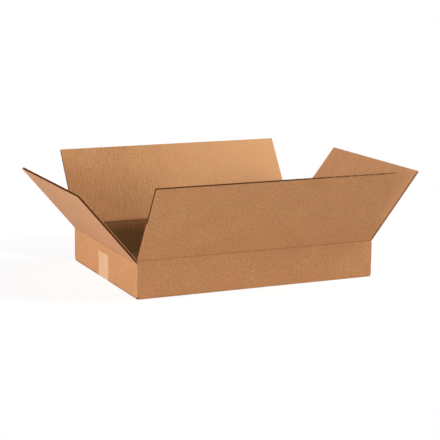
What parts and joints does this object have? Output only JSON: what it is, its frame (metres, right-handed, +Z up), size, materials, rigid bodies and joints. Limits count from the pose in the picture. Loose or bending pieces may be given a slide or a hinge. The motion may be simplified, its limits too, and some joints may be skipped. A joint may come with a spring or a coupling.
{
  "type": "low corrugated carton with open flaps",
  "caption": "Low corrugated carton on its taped bottom, with long and short top flaps that fold at their creases to close it.",
  "frame": {"origin": "under the middle of the carton, on the surface that it stands on", "axes": "+X along the length to the right, +Y to the back, +Z up out of the opening"},
  "size_m": [0.6315, 0.4733, 0.1968],
  "materials": {
    "kraft_board": "matt kraft liner with faint flute lines",
    "packing_tape": "thin tan film with a soft sheen"
  },
  "bodies": {
    "carton": {"carton_body": "kraft_board", "sealing_tape": "packing_tape"},
    "front_flap": {"front_flap": "kraft_board"},
    "right_flap": {"right_flap": "kraft_board"},
    "back_flap": {"back_flap": "kraft_board"},
    "left_flap": {"left_flap": "kraft_board"}
  },
  "joints": [
    {"name": "front_flap_crease", "type": "hinge", "parent": "carton", "child": "front_flap", "pos_m": [0, -0.156, 0.065], "axis": [1, 0, 0], "range_deg": [-120.8, 82.2]},
    {"name": "right_flap_crease", "type": "hinge", "parent": "carton", "child": "right_flap", "pos_m": [0.22, 0, 0.0607], "axis": [0, 1, 0], "range_deg": [-128.2, 72.8]},
    {"name": "back_flap_crease", "type": "hinge", "parent": "carton", "child": "back_flap", "pos_m": [0, 0.156, 0.065], "axis": [-1, 0, 0], "range_deg": [-123.8, 79.2]},
    {"name": "left_flap_crease", "type": "hinge", "parent": "carton", "child": "left_flap", "pos_m": [-0.22, 0, 0.0607], "axis": [0, -1, 0], "range_deg": [-130.5, 70.5]}
  ]
}
